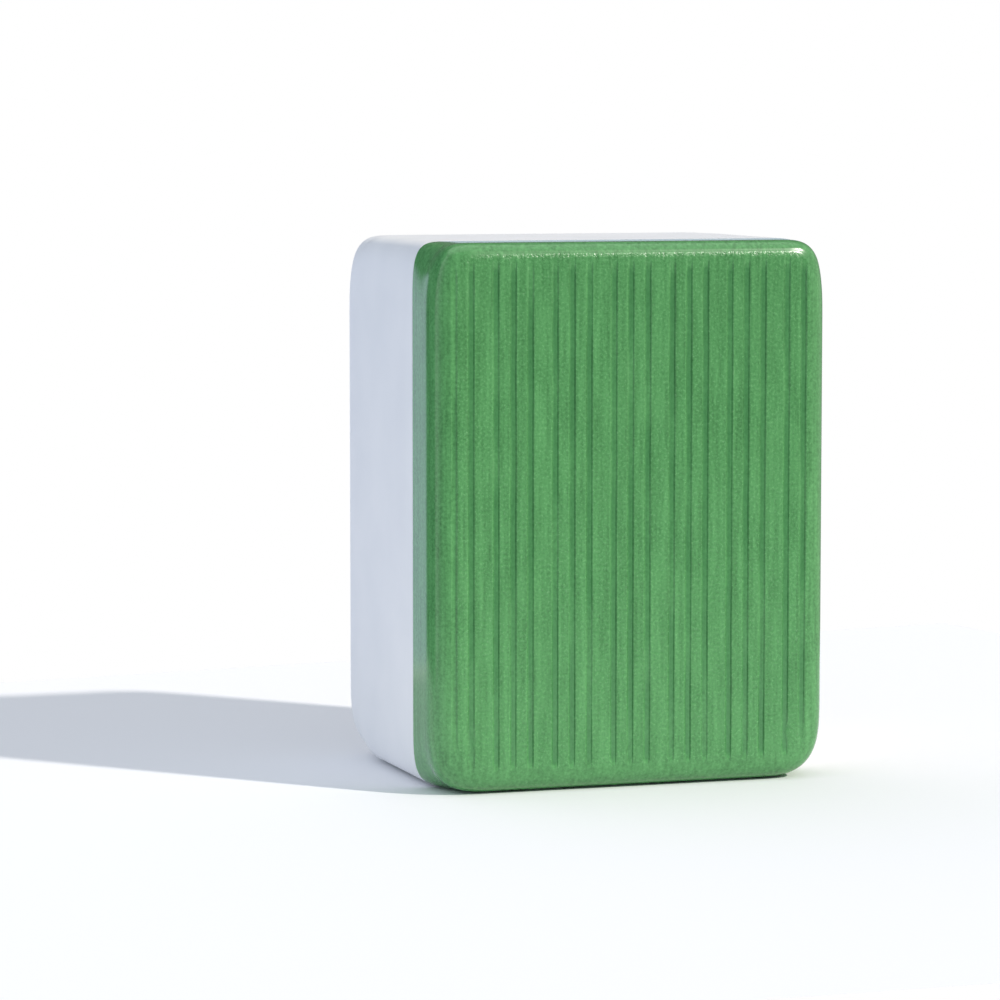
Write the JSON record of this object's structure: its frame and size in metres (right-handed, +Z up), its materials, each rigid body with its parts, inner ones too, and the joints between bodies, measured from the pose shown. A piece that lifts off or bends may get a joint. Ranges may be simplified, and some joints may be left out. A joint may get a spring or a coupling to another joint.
{
  "type": "mahjong tile",
  "caption": "Two-tone mahjong tile: a ribbed green back block keyed to a white face block with engraved, paint-filled circles, rounded all round and with flat ends to stand on.",
  "frame": {"origin": "middle of the flat end that the tile stands on", "axes": "+Z up along the tile's height, +X across its width, -Y out of the ribbed back, +Y out of the playing face"},
  "size_m": [0.029, 0.022, 0.038],
  "materials": {
    "green_resin": "polished melamine resin, satin on the ribbed back",
    "white_resin": "polished melamine resin",
    "red_paint": "enamel paint in an engraved recess",
    "blue_paint": "enamel paint in an engraved recess",
    "green_paint": "enamel paint in an engraved recess"
  },
  "bodies": {
    "root": {"back_block": "green_resin", "face_block": "white_resin", "upper_left_ring": "blue_paint", "upper_left_beads": "green_paint", "upper_left_core": "red_paint", "upper_right_ring": "blue_paint", "upper_right_beads": "green_paint", "upper_right_core": "red_paint", "centre_ring": "red_paint", "centre_beads": "green_paint", "centre_core": "blue_paint", "lower_left_ring": "blue_paint", "lower_left_beads": "green_paint", "lower_left_core": "red_paint", "lower_right_ring": "blue_paint", "lower_right_beads": "green_paint", "lower_right_core": "red_paint"}
  },
  "joints": []
}
